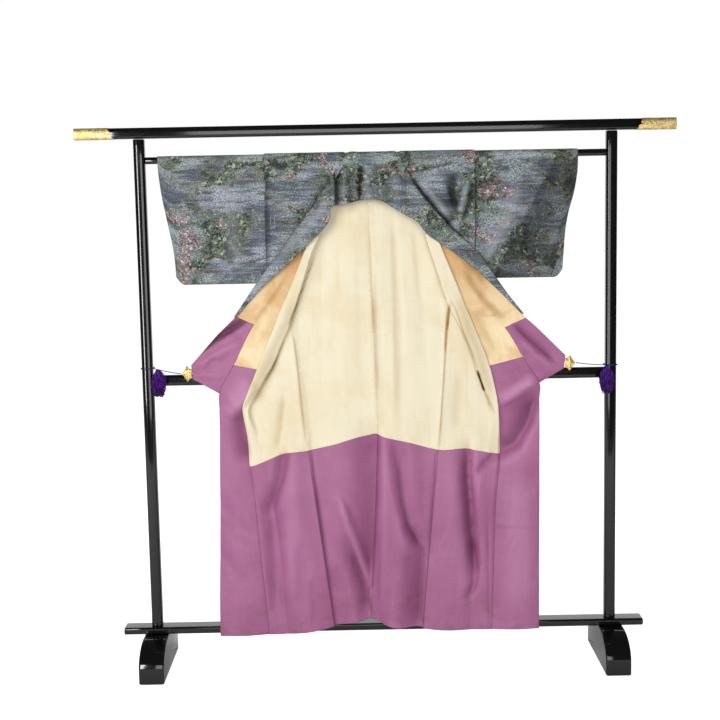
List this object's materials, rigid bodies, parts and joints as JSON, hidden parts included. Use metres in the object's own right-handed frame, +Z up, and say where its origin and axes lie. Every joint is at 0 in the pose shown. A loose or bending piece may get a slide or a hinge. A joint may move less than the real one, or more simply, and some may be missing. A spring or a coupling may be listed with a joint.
{
  "type": "silk kimono on a lacquered kimono stand",
  "caption": "Lined silk kimono hung open on a black lacquered stand, its fronts drawn aside by clips and cords, with a purple hem lining and a patterned outside.",
  "frame": {"origin": "on the floor, under the middle of the stand", "axes": "+Z up, +X along the rails to the right as one faces the open front, +Y towards the back of the kimono"},
  "size_m": [1.89, 0.336, 1.755],
  "materials": {
    "black_lacquer": "black gloss lacquer",
    "gilt": "gilt, lightly textured",
    "patterned_silk": "crepe silk with a dyed pattern",
    "cream_lining": "plain silk lining",
    "aged_lining": "plain silk lining, yellowed",
    "mauve_hem_lining": "plain silk hem lining with a soft sheen",
    "violet_tassel": "twisted silk"
  },
  "bodies": {
    "root": {"top_rail": "black_lacquer", "post_left": "black_lacquer", "post_right": "black_lacquer", "hanging_rod": "black_lacquer", "mid_rail": "black_lacquer", "low_board": "black_lacquer", "foot_left": "black_lacquer", "foot_right": "black_lacquer", "rail_cap_left": "gilt", "rail_cap_right": "gilt", "clip_left": "gilt", "clip_right": "gilt", "back_left": "patterned_silk", "front_left": "patterned_silk", "overlap_left": "patterned_silk", "collar_left": "patterned_silk", "front_shoulder_left": "patterned_silk", "sleeve_left": "patterned_silk", "hem_lining_back_left": "mauve_hem_lining", "hem_lining_front_left": "mauve_hem_lining", "hem_lining_overlap_left": "mauve_hem_lining", "hem_lining_collar_left": "mauve_hem_lining", "lining_back_left": "cream_lining", "lining_front_left": "cream_lining", "lining_overlap_left": "aged_lining", "lining_collar_left": "aged_lining", "tie_cord_left": "violet_tassel", "cord_loop_left": "violet_tassel", "tassel_left": "violet_tassel", "back_right": "patterned_silk", "front_right": "patterned_silk", "overlap_right": "patterned_silk", "collar_right": "patterned_silk", "front_shoulder_right": "patterned_silk", "sleeve_right": "patterned_silk", "hem_lining_back_right": "mauve_hem_lining", "hem_lining_front_right": "mauve_hem_lining", "hem_lining_overlap_right": "mauve_hem_lining", "hem_lining_collar_right": "mauve_hem_lining", "lining_back_right": "cream_lining", "lining_front_right": "cream_lining", "lining_overlap_right": "aged_lining", "lining_collar_right": "aged_lining", "tie_cord_right": "violet_tassel", "cord_loop_right": "violet_tassel", "tassel_right": "violet_tassel", "over_collar": "patterned_silk"}
  },
  "joints": []
}
